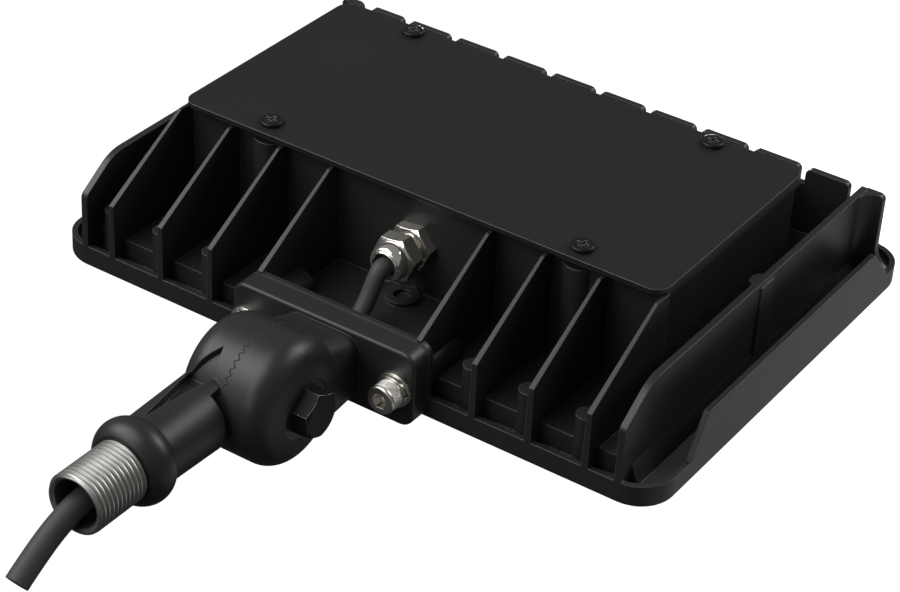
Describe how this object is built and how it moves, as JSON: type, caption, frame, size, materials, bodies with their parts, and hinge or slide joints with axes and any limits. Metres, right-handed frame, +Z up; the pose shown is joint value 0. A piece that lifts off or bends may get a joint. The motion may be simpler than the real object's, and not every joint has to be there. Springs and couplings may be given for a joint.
{
  "type": "flood light",
  "caption": "Finned rectangular LED flood light with driver box, cable gland and toothed tilting knuckle ending in a hollow pipe thread with a short supply cord.",
  "frame": {"origin": "on the pipe thread's axis, at the collar face where the thread leaves the arm", "axes": "+Y along the thread axis from its mouth to the light, +X along the light's long side, +Z up out of the driver cover, lens side down"},
  "size_m": [0.239, 0.3187, 0.0584],
  "materials": {
    "cast_black": "fine semi-matte black paint on die-cast aluminium",
    "cover_black": "fine semi-matte black paint on sheet metal",
    "screw_black": "black oxide steel",
    "silicone": "soft grey silicone",
    "driver_case": "plain sheet aluminium",
    "zinc_steel": "zinc plated",
    "lead_red": "insulated wire",
    "rubber_black": "matt rubber",
    "board_white": "white solder mask on aluminium board",
    "phosphor": "yellow phosphor",
    "lens_clear": "clear moulded acrylic",
    "glass_clear": "clear tempered glass",
    "nickel": "bright nickel plate",
    "cable_black": "black cable jacket",
    "stainless": "stainless steel",
    "dark_steel": "blackened steel with bright edges",
    "bare_zinc": "bare cast zinc thread"
  },
  "bodies": {
    "arm": {"knuckle_arm": "cast_black", "threaded_nipple": "bare_zinc", "pivot_nut": "dark_steel", "supply_lead": "cable_black", "supply_cord": "cable_black"},
    "bolt": {"pivot_bolt": "dark_steel"},
    "head": {"housing": "cast_black", "driver_cover": "cover_black", "cover_gasket": "silicone", "cover_screws": "screw_black", "led_driver": "driver_case", "driver_screws": "zinc_steel", "led_leads": "lead_red", "lead_grommet": "rubber_black", "led_board": "board_white", "led_emitters": "phosphor", "board_screws": "zinc_steel", "lens_array": "lens_clear", "glass_gasket": "silicone", "front_glass": "glass_clear", "front_bezel": "cover_black", "bezel_screws": "screw_black", "gland_body": "nickel", "gland_nut": "nickel", "gland_locknut": "nickel", "gland_seal": "rubber_black", "driver_lead": "cable_black", "flange_gasket": "rubber_black", "knuckle_flange": "cast_black", "flange_bolts": "stainless", "flange_spring_washers": "stainless", "flange_flat_washers": "stainless"}
  },
  "joints": [
    {"name": "clamp_release", "type": "slide", "parent": "arm", "child": "bolt", "axis": [1, 0, 0], "range_m": [0, 0.0026]},
    {"name": "knuckle_tilt", "type": "hinge", "parent": "bolt", "child": "head", "pos_m": [0.0073, 0.0585, 0], "axis": [1, 0, 0], "range_deg": [-90, 90]}
  ]
}
